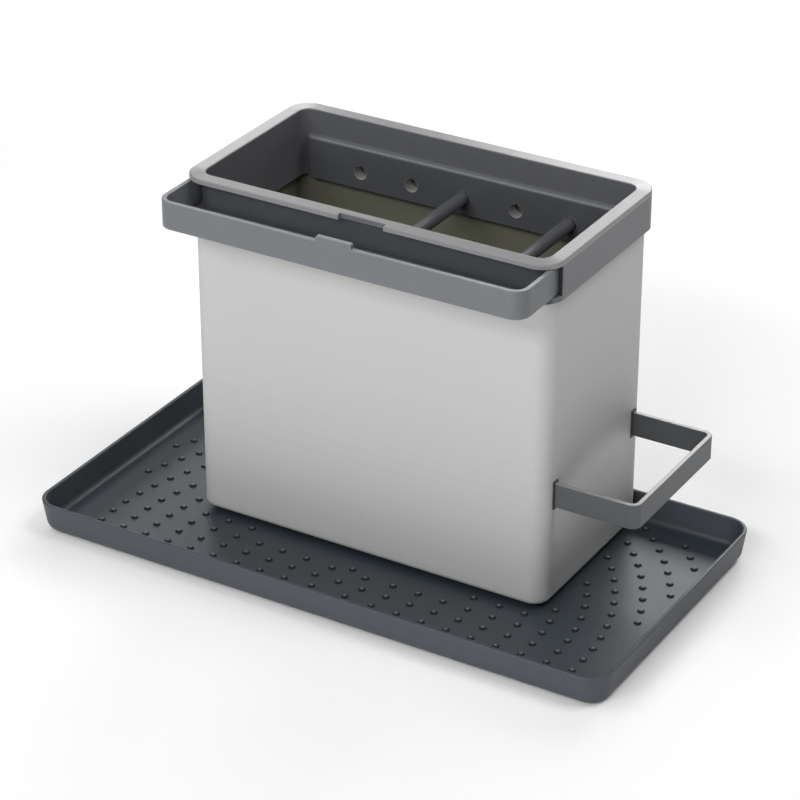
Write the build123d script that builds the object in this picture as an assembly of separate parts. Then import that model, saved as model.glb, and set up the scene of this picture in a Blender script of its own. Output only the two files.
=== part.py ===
from build123d import *
import os
from math import asin, atan, cos, degrees, hypot, radians, sin

# Kitchen sink caddy: a steel box under a plastic collar, standing at the back of a drip tray.
# Frame: millimetres, +Z up, origin under the middle of the tray, front of the caddy towards -Y.

os.makedirs("parts", exist_ok=True)

# Drip tray
TRAY_LENGTH = 326.0
TRAY_DEPTH = 168.0
TRAY_HEIGHT = 16.5
TRAY_CORNER_RADIUS = 13.0
TRAY_WALL = 2.0
TRAY_FLOOR = 2.0
TRAY_WALL_LEAN = 2.5
TRAY_OUTER_EDGE_RADIUS = 4.5
TRAY_INNER_EDGE_RADIUS = 3.0
TRAY_RIM_ROUND = 0.6

# Raised bumps of the tray floor, in rings about a point in front of the steel box
BUMP_DIAMETER = 4.0
BUMP_HEIGHT = 1.1
BUMP_ROOT = 0.4
BUMP_RING_PITCH = 13.65
BUMPS_PER_RING_STEP = 8
BUMP_CENTRE_BEFORE_BOX = 26.0
BUMP_SIDE_MARGIN = 6.0
BUMP_END_MARGIN = 11.5
BUMP_FIELD_LEAN_SHARE = 0.03
BARE_PAD_LENGTH = 116.0
BARE_PAD_DEPTH = 9.0

# Rubber pads under the tray
PAD_DIAMETER = 16.0
PAD_THICKNESS = 1.6
PAD_RECESS = 0.6
PAD_INSET = 22.0
PAD_FIT_GAP = 0.1

# Steel box
BOX_LENGTH = 200.0
BOX_DEPTH = 104.0
BOX_CORNER_RADIUS = 9.0
BOX_BOTTOM_RADIUS = 3.0
STEEL_THICKNESS = 0.8
BOX_TRAY_GAP = 0.5
FLANGE_WIDTH = 9.0
FLANGE_CORNER_RADIUS = 24.0

# Feet under the steel box
FOOT_HEIGHT = 2.0
FOOT_DIAMETER = 10.0
FOOT_STEM_DIAMETER = 4.0
FOOT_STEM_GRIP = 1.6
FOOT_INSET = 12.0
FOOT_FIT_GAP = 0.1

# Drain plate inside the steel box
PLATE_THICKNESS = 2.4
PLATE_EDGE_GAP = 0.3
DRAIN_SLOT_LENGTH = 30.0
DRAIN_SLOT_WIDTH = 3.0
DRAIN_SLOT_PITCH = 12.0
DRAIN_ROW_PITCH = 38.0
DRAIN_ROWS = 2

# Collar on top of the steel box
CADDY_HEIGHT = 186.0
LIP_OVERHANG = 3.0
LIP_WIDTH = 7.5
LIP_THICKNESS = 2.6
LIP_EDGE_ROUND = 0.7
SKIRT_HEIGHT = 20.3
SKIRT_WALL = 1.6
SKIRT_FRONT_SETBACK = 10.0
LEDGE_THICKNESS = 2.5
LEDGE_FRONT_COVER = 1.4
SLEEVE_WALL = 2.0
SLEEVE_DEPTH = 36.0
SLEEVE_CORNER_RADIUS = 6.0
GROOVE_DEPTH = 1.2
GROOVE_GAP = 0.3
SEAT_RIB_WIDTH = 3.0
SEAT_RIB_GAP = 0.1
SEAT_RIB_FOOT = 2.0

# Strips that carry the divider rods
STRIP_THICKNESS = 4.5
STRIP_HEIGHT = 22.5
STRIP_END_GAP = 2.5
STRIP_END_RADIUS = 3.0
STRIP_TOP_ROUND = 1.6
ROD_HOLE_PITCH = 30.0
ROD_HOLE_COUNT = 5
ROD_HOLE_BELOW_TOP = 27.0
ROD_DIAMETER = 7.0
ROD_HOLE_GAP = 0.3
ROD_END_ROUND = 1.0
ROD_END_SPARE = 0.6
ROD_SEAT_SHARES = (0.5, 1.0)

# Cloth rail that slides out of the collar's front
RAIL_THICKNESS = 2.5
RAIL_SLIDE_GAP = 0.3
RAIL_TOP_GAP = 0.4
RAIL_SKIRT_GAP = 0.8
RAIL_CORNER_RADIUS = 8.0
RAIL_ARM_LENGTH = 66.0
RAIL_PULLED_OUT = 24.5
RAIL_EDGE_ROUND = 0.4
TAB_WIDTH = 19.5
TAB_CORNER_RADIUS = 1.0
TAB_TOP_GAP = 0.4
NOTCH_SIDE_GAP = 2.75
GLIDE_LENGTH = 8.0
GLIDE_HEIGHT = 9.0
GLIDE_TAIL_GAP = 4.0
GLIDE_FIT_GAP = 0.05
STOP_RIB_LENGTH = 1.5
STOP_RIB_GAP = 0.25

# Bottle loop that slides out of the right side
LOOP_REACH = 44.6
LOOP_CORNER_CLEARANCE = 0.5
LOOP_HEIGHT = 13.0
LOOP_THICKNESS = 2.5
LOOP_CORNER_RADIUS = 5.0
LOOP_TOP_ABOVE_BOX_FOOT = 66.2
LOOP_EDGE_ROUND = 0.4
LOOP_STOP_LENGTH = 5.0
LOOP_STOP_GAP = 0.3
LOOP_BEZEL_REST = 0.5

# Slot bezels and the guides behind them
BEZEL_GAP = 0.25
BEZEL_SLEEVE_WALL = 0.6
BEZEL_FLANGE_LIP = 0.4
BEZEL_FLANGE_THICKNESS = 0.5
BEZEL_SLEEVE_DEPTH = 12.0
BEZEL_CORNER_RADIUS = 0.8
BEZEL_FIT_GAP = 0.1
GUIDE_WALL = 1.6
GUIDE_WEB = 2.0
GUIDE_END_SPARE = 4.0

# One overrun serves every through cut
CUT = 1.0

# Levels, worked out from the sizes above
TRAY_UNDERSIDE = PAD_THICKNESS - PAD_RECESS
FLOOR_TOP = TRAY_UNDERSIDE + TRAY_FLOOR
BOX_BOTTOM = FLOOR_TOP + FOOT_HEIGHT
PLATE_BOTTOM = BOX_BOTTOM + STEEL_THICKNESS
LIP_TOP = BOX_BOTTOM + CADDY_HEIGHT
LIP_UNDERSIDE = LIP_TOP - LIP_THICKNESS
SKIRT_BOTTOM = LIP_TOP - SKIRT_HEIGHT
LEDGE_TOP = SKIRT_BOTTOM + LEDGE_THICKNESS
STEEL_TOP = SKIRT_BOTTOM + GROOVE_DEPTH
SLEEVE_BOTTOM = LIP_TOP - SLEEVE_DEPTH
STRIP_TOP = SLEEVE_BOTTOM + STRIP_HEIGHT
ROD_LEVEL = LIP_TOP - ROD_HOLE_BELOW_TOP
RAIL_BOTTOM = LEDGE_TOP + RAIL_SLIDE_GAP
RAIL_TOP = LIP_UNDERSIDE - RAIL_TOP_GAP
LOOP_TOP = BOX_BOTTOM + LOOP_TOP_ABOVE_BOX_FOOT
LOOP_BOTTOM = LOOP_TOP - LOOP_HEIGHT
LOOP_MIDDLE = (LOOP_TOP + LOOP_BOTTOM) / 2

# Places along Y of the steel box and what sits in it: its back is close to the tray's back wall
BOX_BACK_OFFSET = (TRAY_DEPTH - BOX_DEPTH) / 2 - TRAY_WALL - TRAY_WALL_LEAN - BOX_TRAY_GAP
BOX_FRONT = BOX_BACK_OFFSET - BOX_DEPTH / 2
LIP_FRONT = BOX_FRONT - LIP_OVERHANG
SKIRT_START = LIP_FRONT + SKIRT_FRONT_SETBACK

# Plan sizes of the collar's rings
LIP_LENGTH = BOX_LENGTH + 2 * LIP_OVERHANG
LIP_DEPTH = BOX_DEPTH + 2 * LIP_OVERHANG
LIP_CORNER_RADIUS = BOX_CORNER_RADIUS + LIP_OVERHANG
MOUTH_LENGTH = LIP_LENGTH - 2 * LIP_WIDTH
MOUTH_DEPTH = LIP_DEPTH - 2 * LIP_WIDTH
SLEEVE_LENGTH = MOUTH_LENGTH + 2 * SLEEVE_WALL
SLEEVE_SPAN = MOUTH_DEPTH + 2 * SLEEVE_WALL
BOX_INNER_LENGTH = BOX_LENGTH - 2 * STEEL_THICKNESS
BOX_INNER_DEPTH = BOX_DEPTH - 2 * STEEL_THICKNESS
BOX_INNER_RADIUS = BOX_CORNER_RADIUS - STEEL_THICKNESS

# Rod holes and rods
ROD_HOLE_RADIUS = ROD_DIAMETER / 2 + ROD_HOLE_GAP
STRIP_FACE_SPAN = MOUTH_DEPTH - 2 * STRIP_THICKNESS
ROD_HOLE_REACH = (BOX_INNER_DEPTH - STRIP_FACE_SPAN) / 2
ROD_LENGTH = STRIP_FACE_SPAN + ROD_HOLE_REACH - 2 * ROD_END_SPARE
ROD_HOLE_XS = [(i - (ROD_HOLE_COUNT - 1) / 2) * ROD_HOLE_PITCH for i in range(ROD_HOLE_COUNT)]
ROD_ROW_LENGTH = ROD_HOLE_XS[-1] - ROD_HOLE_XS[0]
ROD_XS = [ROD_HOLE_XS[0] + share * ROD_ROW_LENGTH for share in ROD_SEAT_SHARES]

# Cloth rail
RAIL_OUTER_HALF = LIP_LENGTH / 2 - SKIRT_WALL - RAIL_SKIRT_GAP
RAIL_FRONT = LIP_FRONT - RAIL_PULLED_OUT
RAIL_TAIL = RAIL_FRONT + RAIL_ARM_LENGTH
NOTCH_DEPTH = RAIL_THICKNESS + RAIL_SLIDE_GAP
TAB_TOP = LIP_TOP - TAB_TOP_GAP
GLIDE_MIDDLE_Y = RAIL_TAIL - GLIDE_TAIL_GAP - GLIDE_LENGTH / 2
GLIDE_PROUD = RAIL_SKIRT_GAP - RAIL_SLIDE_GAP

# Bottle loop, just clear of the steel box's round corners, its bezels and guides
LOOP_DEPTH = BOX_DEPTH - 2 * (BOX_CORNER_RADIUS + LOOP_CORNER_CLEARANCE)
BOX_RIGHT = BOX_LENGTH / 2
BOX_RIGHT_INSIDE = BOX_RIGHT - STEEL_THICKNESS
ARM_Y_OFFSET = (LOOP_DEPTH - LOOP_THICKNESS) / 2
SLEEVE_PORT = (LOOP_THICKNESS + 2 * BEZEL_GAP, LOOP_HEIGHT + 2 * BEZEL_GAP)
SLEEVE_OUTER = tuple(side + 2 * BEZEL_SLEEVE_WALL for side in SLEEVE_PORT)
FLANGE_OUTER = tuple(side + 2 * BEZEL_FLANGE_LIP for side in SLEEVE_OUTER)
GUIDE_BORE = tuple(side + 2 * BEZEL_FIT_GAP for side in SLEEVE_OUTER)
GUIDE_OUTER = tuple(side + 2 * GUIDE_WALL for side in GUIDE_BORE)
STOP_OUTER = tuple(side - 2 * LOOP_STOP_GAP for side in GUIDE_BORE)
SLEEVE_END = BOX_RIGHT_INSIDE - BEZEL_SLEEVE_DEPTH
STOP_FRONT = SLEEVE_END - LOOP_STOP_GAP
STOP_BACK = STOP_FRONT - LOOP_STOP_LENGTH
LOOP_TRAVEL = LOOP_REACH - LOOP_CORNER_RADIUS - BEZEL_FLANGE_THICKNESS - LOOP_BEZEL_REST
GUIDE_END = STOP_BACK - LOOP_TRAVEL - GUIDE_END_SPARE


def slab(length, depth, radius, low, high, middle_y=0.0):
    """A rounded rectangular block between two levels."""
    outline = RectangleRounded(length, depth, radius)
    return Pos(0, middle_y, low) * extrude(outline, amount=high - low)


def ring(outer, inner, low, high, middle_y=0.0):
    """A rounded rectangular ring; outer and inner are (length, depth, radius)."""
    hole = slab(*inner, low - CUT, high + CUT, middle_y)
    return slab(*outer, low, high, middle_y) - hole


def block(x_span, y_span, z_span):
    """A plain block between two corners."""
    sizes = [span[1] - span[0] for span in (x_span, y_span, z_span)]
    middles = [(span[1] + span[0]) / 2 for span in (x_span, y_span, z_span)]
    return Pos(*middles) * Box(*sizes)


def around(middle, size):
    """The span of a size about its middle."""
    return (middle - size / 2, middle + size / 2)


def bar_x(section, start, end, middle_y, middle_z):
    """A bar along X with a (width, height) section."""
    return block((start, end), around(middle_y, section[0]), around(middle_z, section[1]))


def corners(half_x, half_y):
    """Names and signs of the four corners of a rectangle."""
    for y_name, y in (("front", -half_y), ("back", half_y)):
        for x_name, x in (("left", -half_x), ("right", half_x)):
            yield f"{y_name}_{x_name}", x, y


def bottom_edges(shape):
    """The lowest group of edges."""
    return shape.edges().group_by(Axis.Z)[0]


def top_edges(shape):
    """The highest group of edges."""
    return shape.edges().group_by(Axis.Z)[-1]


def tray_basin():
    """The tray without its bumps: leaning walls and rounded bottom edges."""
    lean = degrees(atan(TRAY_WALL_LEAN / TRAY_HEIGHT))
    foot = (TRAY_LENGTH - 2 * TRAY_WALL_LEAN, TRAY_DEPTH - 2 * TRAY_WALL_LEAN)
    foot_radius = TRAY_CORNER_RADIUS - TRAY_WALL_LEAN
    outline = RectangleRounded(*foot, foot_radius)
    outer = Pos(0, 0, TRAY_UNDERSIDE) * extrude(outline, amount=TRAY_HEIGHT, taper=-lean)
    outer = fillet(bottom_edges(outer), TRAY_OUTER_EDGE_RADIUS)
    floor_lean = TRAY_WALL_LEAN * TRAY_FLOOR / TRAY_HEIGHT
    inset = TRAY_WALL - floor_lean
    hollow_outline = RectangleRounded(foot[0] - 2 * inset, foot[1] - 2 * inset, foot_radius - inset)
    hollow_height = TRAY_HEIGHT - TRAY_FLOOR + CUT
    hollow = Pos(0, 0, FLOOR_TOP) * extrude(hollow_outline, amount=hollow_height, taper=-lean)
    hollow = fillet(bottom_edges(hollow), TRAY_INNER_EDGE_RADIUS)
    basin = outer - hollow
    return fillet(top_edges(basin), TRAY_RIM_ROUND)


def bump_places():
    """Ring by ring about one middle, where each ring holds a step more bumps than the last."""
    middle_y = BOX_FRONT - BUMP_CENTRE_BEFORE_BOX
    rings = int(hypot(TRAY_LENGTH / 2, TRAY_DEPTH) / BUMP_RING_PITCH) + 1
    places = [(0.0, middle_y)]
    for step in range(1, rings):
        count = BUMPS_PER_RING_STEP * step
        for i in range(count):
            turn = radians(360 * i / count)
            radius = BUMP_RING_PITCH * step
            places.append((radius * cos(turn), middle_y + radius * sin(turn)))
    return [place for place in places if in_bump_field(*place) and not stands_on(*place)]


def in_bump_field(x, y):
    """Whether a place lies in the field of bumps, whose ends come in a little towards the front."""
    end = TRAY_LENGTH / 2 - TRAY_WALL - TRAY_WALL_LEAN - BUMP_END_MARGIN
    side = TRAY_DEPTH / 2 - TRAY_WALL - TRAY_WALL_LEAN - BUMP_SIDE_MARGIN
    return abs(x) < end + BUMP_FIELD_LEAN_SHARE * y and abs(y) < side


def stands_on(x, y):
    """Whether a place lies where the box stands, or on the bare floor just before it."""
    clear = BUMP_DIAMETER / 2
    under_box = abs(x) < BOX_LENGTH / 2 + clear and y > BOX_FRONT - clear
    on_bare_floor = abs(x) < BARE_PAD_LENGTH / 2 and y > BOX_FRONT - BARE_PAD_DEPTH
    return under_box or on_bare_floor


def bump():
    """One low dome, with a root that sinks into the floor."""
    half = BUMP_DIAMETER / 2
    radius = (half * half + BUMP_HEIGHT * BUMP_HEIGHT) / (2 * BUMP_HEIGHT)
    cut_level = radius - BUMP_HEIGHT - BUMP_ROOT
    on_top = (Align.CENTER, Align.CENTER, Align.MAX)
    dome = Sphere(radius, arc_size1=degrees(asin(cut_level / radius)), align=on_top)
    return Pos(0, 0, BUMP_HEIGHT) * dome


def pad_places():
    """Middles of the four rubber pads."""
    return list(corners(TRAY_LENGTH / 2 - PAD_INSET, TRAY_DEPTH / 2 - PAD_INSET))


def drip_tray():
    """The tray moulding with its bumps and its pad recesses."""
    basin = tray_basin()
    dome = bump()
    basin = basin + [Pos(x, y, FLOOR_TOP) * dome for x, y in bump_places()]
    recess = Cylinder(PAD_DIAMETER / 2 + PAD_FIT_GAP, PAD_RECESS + CUT)
    recess_middle = TRAY_UNDERSIDE + (PAD_RECESS - CUT) / 2
    return basin - [Pos(x, y, recess_middle) * recess for name, x, y in pad_places()]


def tray_pads():
    """Rubber pads pressed into the recesses under the tray."""
    pad = Pos(0, 0, PAD_THICKNESS / 2) * Cylinder(PAD_DIAMETER / 2, PAD_THICKNESS)
    return {f"tray_pad_{name}": Pos(x, y, 0) * pad for name, x, y in pad_places()}


def foot_places():
    """Middles of the feet under the steel box."""
    half_x = BOX_LENGTH / 2 - FOOT_INSET
    half_y = BOX_DEPTH / 2 - FOOT_INSET
    return [(name, x, y + BOX_BACK_OFFSET) for name, x, y in corners(half_x, half_y)]


def arm_ys():
    """Middles of the bottle loop's two arms."""
    return {"front": BOX_BACK_OFFSET - ARM_Y_OFFSET, "back": BOX_BACK_OFFSET + ARM_Y_OFFSET}


def steel_box():
    """The folded steel shell with a turned-in bottom flange and two slots in its right side."""
    outer = slab(BOX_LENGTH, BOX_DEPTH, BOX_CORNER_RADIUS, BOX_BOTTOM, STEEL_TOP, BOX_BACK_OFFSET)
    outer = fillet(bottom_edges(outer), BOX_BOTTOM_RADIUS)
    inner_size = (BOX_INNER_LENGTH, BOX_INNER_DEPTH, BOX_INNER_RADIUS)
    inner = slab(*inner_size, PLATE_BOTTOM, STEEL_TOP + CUT, BOX_BACK_OFFSET)
    inner = fillet(bottom_edges(inner), BOX_BOTTOM_RADIUS - STEEL_THICKNESS)
    window = (BOX_LENGTH - 2 * FLANGE_WIDTH, BOX_DEPTH - 2 * FLANGE_WIDTH, FLANGE_CORNER_RADIUS)
    window = slab(*window, BOX_BOTTOM - CUT, PLATE_BOTTOM + CUT, BOX_BACK_OFFSET)
    shell = outer - inner - window
    hole = Cylinder(FOOT_STEM_DIAMETER / 2 + FOOT_FIT_GAP, STEEL_THICKNESS + 2 * CUT)
    flange_middle = BOX_BOTTOM + STEEL_THICKNESS / 2
    shell = shell - [Pos(x, y, flange_middle) * hole for name, x, y in foot_places()]
    slot_size = tuple(side + 2 * BEZEL_FIT_GAP for side in SLEEVE_OUTER)
    for y in arm_ys().values():
        shell = shell - bar_x(slot_size, BOX_RIGHT_INSIDE - CUT, BOX_RIGHT + CUT, y, LOOP_MIDDLE)
    return shell


def box_feet():
    """Feet that lift the steel box off the tray, each with a stem through the flange."""
    sole = Cylinder(FOOT_DIAMETER / 2, FOOT_HEIGHT)
    stem_length = STEEL_THICKNESS + FOOT_STEM_GRIP
    stem = Cylinder(FOOT_STEM_DIAMETER / 2, stem_length)
    sole = Pos(0, 0, FLOOR_TOP + FOOT_HEIGHT / 2) * sole
    foot = sole + Pos(0, 0, BOX_BOTTOM + stem_length / 2) * stem
    return {f"box_foot_{name}": Pos(x, y, 0) * foot for name, x, y in foot_places()}


def drain_plate():
    """The slotted plate on the flange, held down by the stems of the feet."""
    inset = BOX_BOTTOM_RADIUS - STEEL_THICKNESS + PLATE_EDGE_GAP
    length = BOX_INNER_LENGTH - 2 * inset
    depth = BOX_INNER_DEPTH - 2 * inset
    top = PLATE_BOTTOM + PLATE_THICKNESS
    plate = slab(length, depth, BOX_INNER_RADIUS - inset, PLATE_BOTTOM, top, BOX_BACK_OFFSET)
    slot = SlotOverall(DRAIN_SLOT_LENGTH, DRAIN_SLOT_WIDTH, rotation=90)
    slot = extrude(slot, amount=PLATE_THICKNESS + 2 * CUT)
    free_length = length - 2 * FOOT_INSET - FOOT_DIAMETER
    columns = int(free_length / DRAIN_SLOT_PITCH) + 1
    grid = GridLocations(DRAIN_SLOT_PITCH, DRAIN_ROW_PITCH, columns, DRAIN_ROWS)
    middle = Pos(0, BOX_BACK_OFFSET, PLATE_BOTTOM - CUT)
    plate = plate - [middle * place * slot for place in grid]
    socket = Cylinder(FOOT_STEM_DIAMETER / 2 + FOOT_FIT_GAP, FOOT_STEM_GRIP + CUT)
    socket_middle = PLATE_BOTTOM + (FOOT_STEM_GRIP - CUT) / 2
    return plate - [Pos(x, y, socket_middle) * socket for name, x, y in foot_places()]


def lip_plate():
    """The flat top lip with the notch for the rail's thumb tab."""
    outer = (LIP_LENGTH, LIP_DEPTH, LIP_CORNER_RADIUS)
    mouth = (MOUTH_LENGTH, MOUTH_DEPTH, SLEEVE_CORNER_RADIUS)
    lip = ring(outer, mouth, LIP_UNDERSIDE, LIP_TOP, BOX_BACK_OFFSET)
    notch_span = (LIP_FRONT - CUT, LIP_FRONT + NOTCH_DEPTH)
    notch_width = TAB_WIDTH + 2 * NOTCH_SIDE_GAP
    lip = lip - block(around(0, notch_width), notch_span, (LIP_UNDERSIDE - CUT, LIP_TOP + CUT))
    return fillet(top_edges(lip), LIP_EDGE_ROUND)


def skirt():
    """The outer wall on the left, the back and the right, with a stop rib by each front end."""
    outer = (LIP_LENGTH, LIP_DEPTH, LIP_CORNER_RADIUS)
    inner_length = LIP_LENGTH - 2 * SKIRT_WALL
    inner_depth = LIP_DEPTH - 2 * SKIRT_WALL
    inner = (inner_length, inner_depth, LIP_CORNER_RADIUS - SKIRT_WALL)
    wall = ring(outer, inner, SKIRT_BOTTOM, LIP_UNDERSIDE, BOX_BACK_OFFSET)
    front_y = (LIP_FRONT - CUT, SKIRT_START)
    wall = wall - block(around(0, LIP_LENGTH + CUT), front_y, (SKIRT_BOTTOM - CUT, LIP_TOP))
    rib_reach = RAIL_SKIRT_GAP - STOP_RIB_GAP
    rib_y = (SKIRT_START, SKIRT_START + STOP_RIB_LENGTH)
    for side in (-1, 1):
        face = side * (inner_length / 2 + SKIRT_WALL / 2)
        tip = side * (inner_length / 2 - rib_reach)
        wall = wall + block(sorted((face, tip)), rib_y, (LEDGE_TOP, LIP_UNDERSIDE))
    return wall


def ledge():
    """The bottom flange of the collar, grooved below for the top edge of the steel."""
    outer = (LIP_LENGTH, LIP_DEPTH, LIP_CORNER_RADIUS)
    sleeve = (SLEEVE_LENGTH, SLEEVE_SPAN, SLEEVE_CORNER_RADIUS + SLEEVE_WALL)
    shelf = ring(outer, sleeve, SKIRT_BOTTOM, LEDGE_TOP, BOX_BACK_OFFSET)
    front_y = (LIP_FRONT - CUT, BOX_FRONT - LEDGE_FRONT_COVER)
    front = block(around(0, LIP_LENGTH + CUT), front_y, (SKIRT_BOTTOM - CUT, LEDGE_TOP + CUT))
    widen = 2 * GROOVE_GAP
    outside = (BOX_LENGTH + widen, BOX_DEPTH + widen, BOX_CORNER_RADIUS + GROOVE_GAP)
    inside = (BOX_INNER_LENGTH - widen, BOX_INNER_DEPTH - widen, BOX_INNER_RADIUS - GROOVE_GAP)
    groove = ring(outside, inside, SKIRT_BOTTOM - CUT, STEEL_TOP, BOX_BACK_OFFSET)
    return shelf - front - groove


def sleeve_wall():
    """The inner wall that hangs inside the steel, with seat ribs and the rods' holes."""
    outer = (SLEEVE_LENGTH, SLEEVE_SPAN, SLEEVE_CORNER_RADIUS + SLEEVE_WALL)
    mouth = (MOUTH_LENGTH, MOUTH_DEPTH, SLEEVE_CORNER_RADIUS)
    wall = ring(outer, mouth, SLEEVE_BOTTOM, LIP_UNDERSIDE, BOX_BACK_OFFSET)
    rib_z = (SLEEVE_BOTTOM + SEAT_RIB_FOOT, SKIRT_BOTTOM)
    reach_x = BOX_INNER_LENGTH / 2 - SEAT_RIB_GAP
    reach_y = BOX_INNER_DEPTH / 2 - SEAT_RIB_GAP
    inside_x = (SLEEVE_LENGTH - SLEEVE_WALL) / 2
    inside_y = (SLEEVE_SPAN - SLEEVE_WALL) / 2
    outer_rib_x = (ROD_HOLE_XS[-1] + ROD_HOLE_XS[-2]) / 2
    for side in (-1, 1):
        x_span = sorted((side * inside_x, side * reach_x))
        wall = wall + block(x_span, around(BOX_BACK_OFFSET, SEAT_RIB_WIDTH), rib_z)
        y_span = sorted((BOX_BACK_OFFSET + side * inside_y, BOX_BACK_OFFSET + side * reach_y))
        for x in (-outer_rib_x, outer_rib_x):
            wall = wall + block(around(x, SEAT_RIB_WIDTH), y_span, rib_z)
    return wall - rod_holes()


def rod_holes():
    """Round cuts along Y through the strips and the sleeve."""
    length = BOX_INNER_DEPTH + 2 * CUT
    cut = Rot(90, 0, 0) * Cylinder(ROD_HOLE_RADIUS, length)
    return [Pos(x, BOX_BACK_OFFSET, ROD_LEVEL) * cut for x in ROD_HOLE_XS]


def collar():
    """Lip, skirt, ledge and sleeve, moulded in one piece."""
    return lip_plate() + skirt() + ledge() + sleeve_wall()


def rod_strips():
    """The thick strips with the row of rod holes, on the front and back of the sleeve."""
    half = MOUTH_DEPTH / 2
    length = MOUTH_LENGTH - 2 * STRIP_END_GAP
    mouth_size = (MOUTH_LENGTH, MOUTH_DEPTH, SLEEVE_CORNER_RADIUS)
    mouth = slab(*mouth_size, SLEEVE_BOTTOM - CUT, STRIP_TOP + CUT, BOX_BACK_OFFSET)
    strips = {}
    for name, side in (("front", -1), ("back", 1)):
        wall_y = BOX_BACK_OFFSET + side * half
        face_y = wall_y - side * STRIP_THICKNESS
        strip = block(around(0, length), sorted((wall_y, face_y)), (SLEEVE_BOTTOM, STRIP_TOP))
        uprights = strip.edges().filter_by(Axis.Z).sort_by(Axis.Y, reverse=side < 0)
        strip = fillet(uprights[:2], STRIP_END_RADIUS)
        rims = top_edges(strip).sort_by(Axis.Y, reverse=side < 0)
        strip = fillet(rims[:-1], STRIP_TOP_ROUND) & mouth
        strips[f"rod_strip_{name}"] = strip - rod_holes()
    return strips


def divider_rods():
    """Round rods that lie in two facing holes, with rounded ends."""
    rod = Cylinder(ROD_DIAMETER / 2, ROD_LENGTH)
    rod = fillet(rod.edges().filter_by(GeomType.CIRCLE), ROD_END_ROUND)
    rod = Rot(90, 0, 0) * rod
    names = ("divider_rod_middle", "divider_rod_right")
    return {name: Pos(x, BOX_BACK_OFFSET, ROD_LEVEL) * rod for name, x in zip(names, ROD_XS)}


def band(half_width, front, tail, thickness, radius, low, high):
    """A U-shaped flat band that opens towards +Y, from its front face to its two tails."""
    depth = 2 * (tail - front)
    middle = front + depth / 2
    outer = (2 * half_width, depth, radius)
    inner = (2 * (half_width - thickness), depth - 2 * thickness, radius - thickness)
    whole = ring(outer, inner, low, high, middle)
    rear = block(around(0, 2 * half_width + CUT), (tail, front + depth + CUT), (low - CUT, high + CUT))
    return whole - rear


def glide_window(grow):
    """The space of the glides in the rail's arms, grown by a gap."""
    length = GLIDE_LENGTH + 2 * grow
    height = GLIDE_HEIGHT + 2 * grow
    middle_z = (RAIL_TOP + RAIL_BOTTOM) / 2
    return around(GLIDE_MIDDLE_Y, length), around(middle_z, height)


def cloth_rail():
    """The pull-out rail with its thumb tab and a window for a glide in each arm."""
    size = (RAIL_OUTER_HALF, RAIL_FRONT, RAIL_TAIL, RAIL_THICKNESS, RAIL_CORNER_RADIUS)
    rail = band(*size, RAIL_BOTTOM, RAIL_TOP)
    rail = fillet(bottom_edges(rail) + top_edges(rail), RAIL_EDGE_ROUND)
    root = RAIL_TOP - RAIL_THICKNESS
    tab = block(around(0, TAB_WIDTH), (RAIL_FRONT, RAIL_FRONT + RAIL_THICKNESS), (root, TAB_TOP))
    rail = rail + fillet(top_edges(tab).filter_by(Axis.Y), TAB_CORNER_RADIUS)
    y_span, z_span = glide_window(GLIDE_FIT_GAP)
    return rail - block(around(0, 2 * RAIL_OUTER_HALF + CUT), y_span, z_span)


def rail_glides():
    """Pads snapped into the rail's arms, a little proud of both faces."""
    y_span, z_span = glide_window(0.0)
    inner = RAIL_OUTER_HALF - RAIL_THICKNESS - RAIL_SLIDE_GAP
    outer = RAIL_OUTER_HALF + GLIDE_PROUD
    glides = {}
    for name, side in (("left", -1), ("right", 1)):
        glides[f"rail_glide_{name}"] = block(sorted((side * inner, side * outer)), y_span, z_span)
    return glides


def bottle_loop():
    """The U-shaped loop on the right side, with its arms reaching inside."""
    half = LOOP_DEPTH / 2
    outer_x = BOX_RIGHT + LOOP_REACH
    reach = outer_x - STOP_BACK
    loop = band(half, -reach, 0.0, LOOP_THICKNESS, LOOP_CORNER_RADIUS, LOOP_BOTTOM, LOOP_TOP)
    loop = fillet(bottom_edges(loop) + top_edges(loop), LOOP_EDGE_ROUND)
    return Pos(STOP_BACK, BOX_BACK_OFFSET, 0) * Rot(0, 0, 90) * loop


def loop_stops():
    """Collars on the inner ends of the loop's arms that can't pass the bezels."""
    hole = (LOOP_THICKNESS, LOOP_HEIGHT)
    stops = {}
    for name, y in arm_ys().items():
        body = bar_x(STOP_OUTER, STOP_BACK, STOP_FRONT, y, LOOP_MIDDLE)
        cut = bar_x(hole, STOP_BACK - CUT, STOP_FRONT + CUT, y, LOOP_MIDDLE)
        stops[f"loop_stop_{name}"] = body - cut
    return stops


def slot_bezels():
    """Bezels pushed in from outside, each with a thin flange and a sleeve round the arm."""
    bezels = {}
    flange_end = BOX_RIGHT + BEZEL_FLANGE_THICKNESS
    for name, y in arm_ys().items():
        flange = bar_x(FLANGE_OUTER, BOX_RIGHT, flange_end, y, LOOP_MIDDLE)
        flange = fillet(flange.edges().filter_by(Axis.X), BEZEL_CORNER_RADIUS)
        tube = bar_x(SLEEVE_OUTER, SLEEVE_END, BOX_RIGHT, y, LOOP_MIDDLE)
        port = bar_x(SLEEVE_PORT, SLEEVE_END - CUT, flange_end + CUT, y, LOOP_MIDDLE)
        bezels[f"slot_bezel_{name}"] = flange + tube - port
    return bezels


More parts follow.
